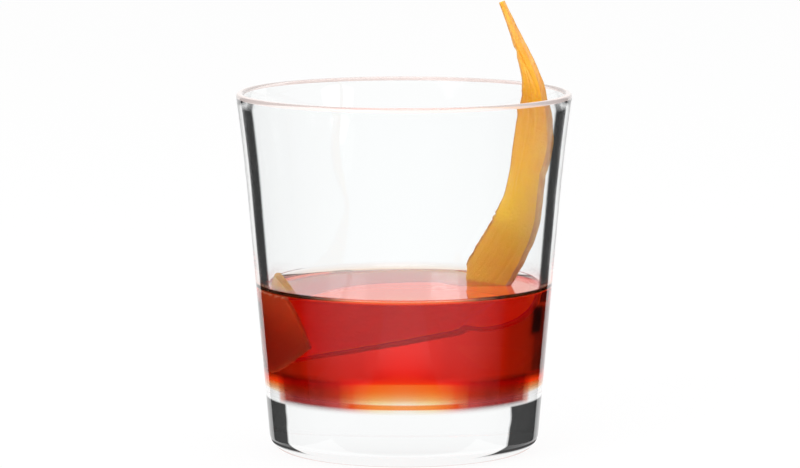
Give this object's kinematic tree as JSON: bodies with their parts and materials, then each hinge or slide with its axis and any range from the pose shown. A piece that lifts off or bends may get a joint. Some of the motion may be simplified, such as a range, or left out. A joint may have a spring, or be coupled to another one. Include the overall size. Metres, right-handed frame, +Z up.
{
  "type": "sazerac in a rocks glass",
  "caption": "Amber-red cocktail in a thick-based, tapered rocks glass, with a long twist of lemon peel that stands above the rim and winds through the drink.",
  "frame": {"origin": "on the glass's axis, on the plane that its foot stands on, below the middle of the whole", "axes": "+Z up along the glass's axis and the part's longest extent, -Y the front, +X the side where the twist stands above the rim"},
  "size_m": [0.084, 0.084, 0.1129],
  "materials": {
    "glass": "clear soda-lime glass, fire-polished",
    "drink": "clear reddish-amber spirit with bitters",
    "lemon_peel": "waxy, finely pitted lemon rind with pale pith behind"
  },
  "bodies": {
    "root": {"glass": "glass", "drink": "drink", "lemon_twist": "lemon_peel"}
  },
  "joints": []
}
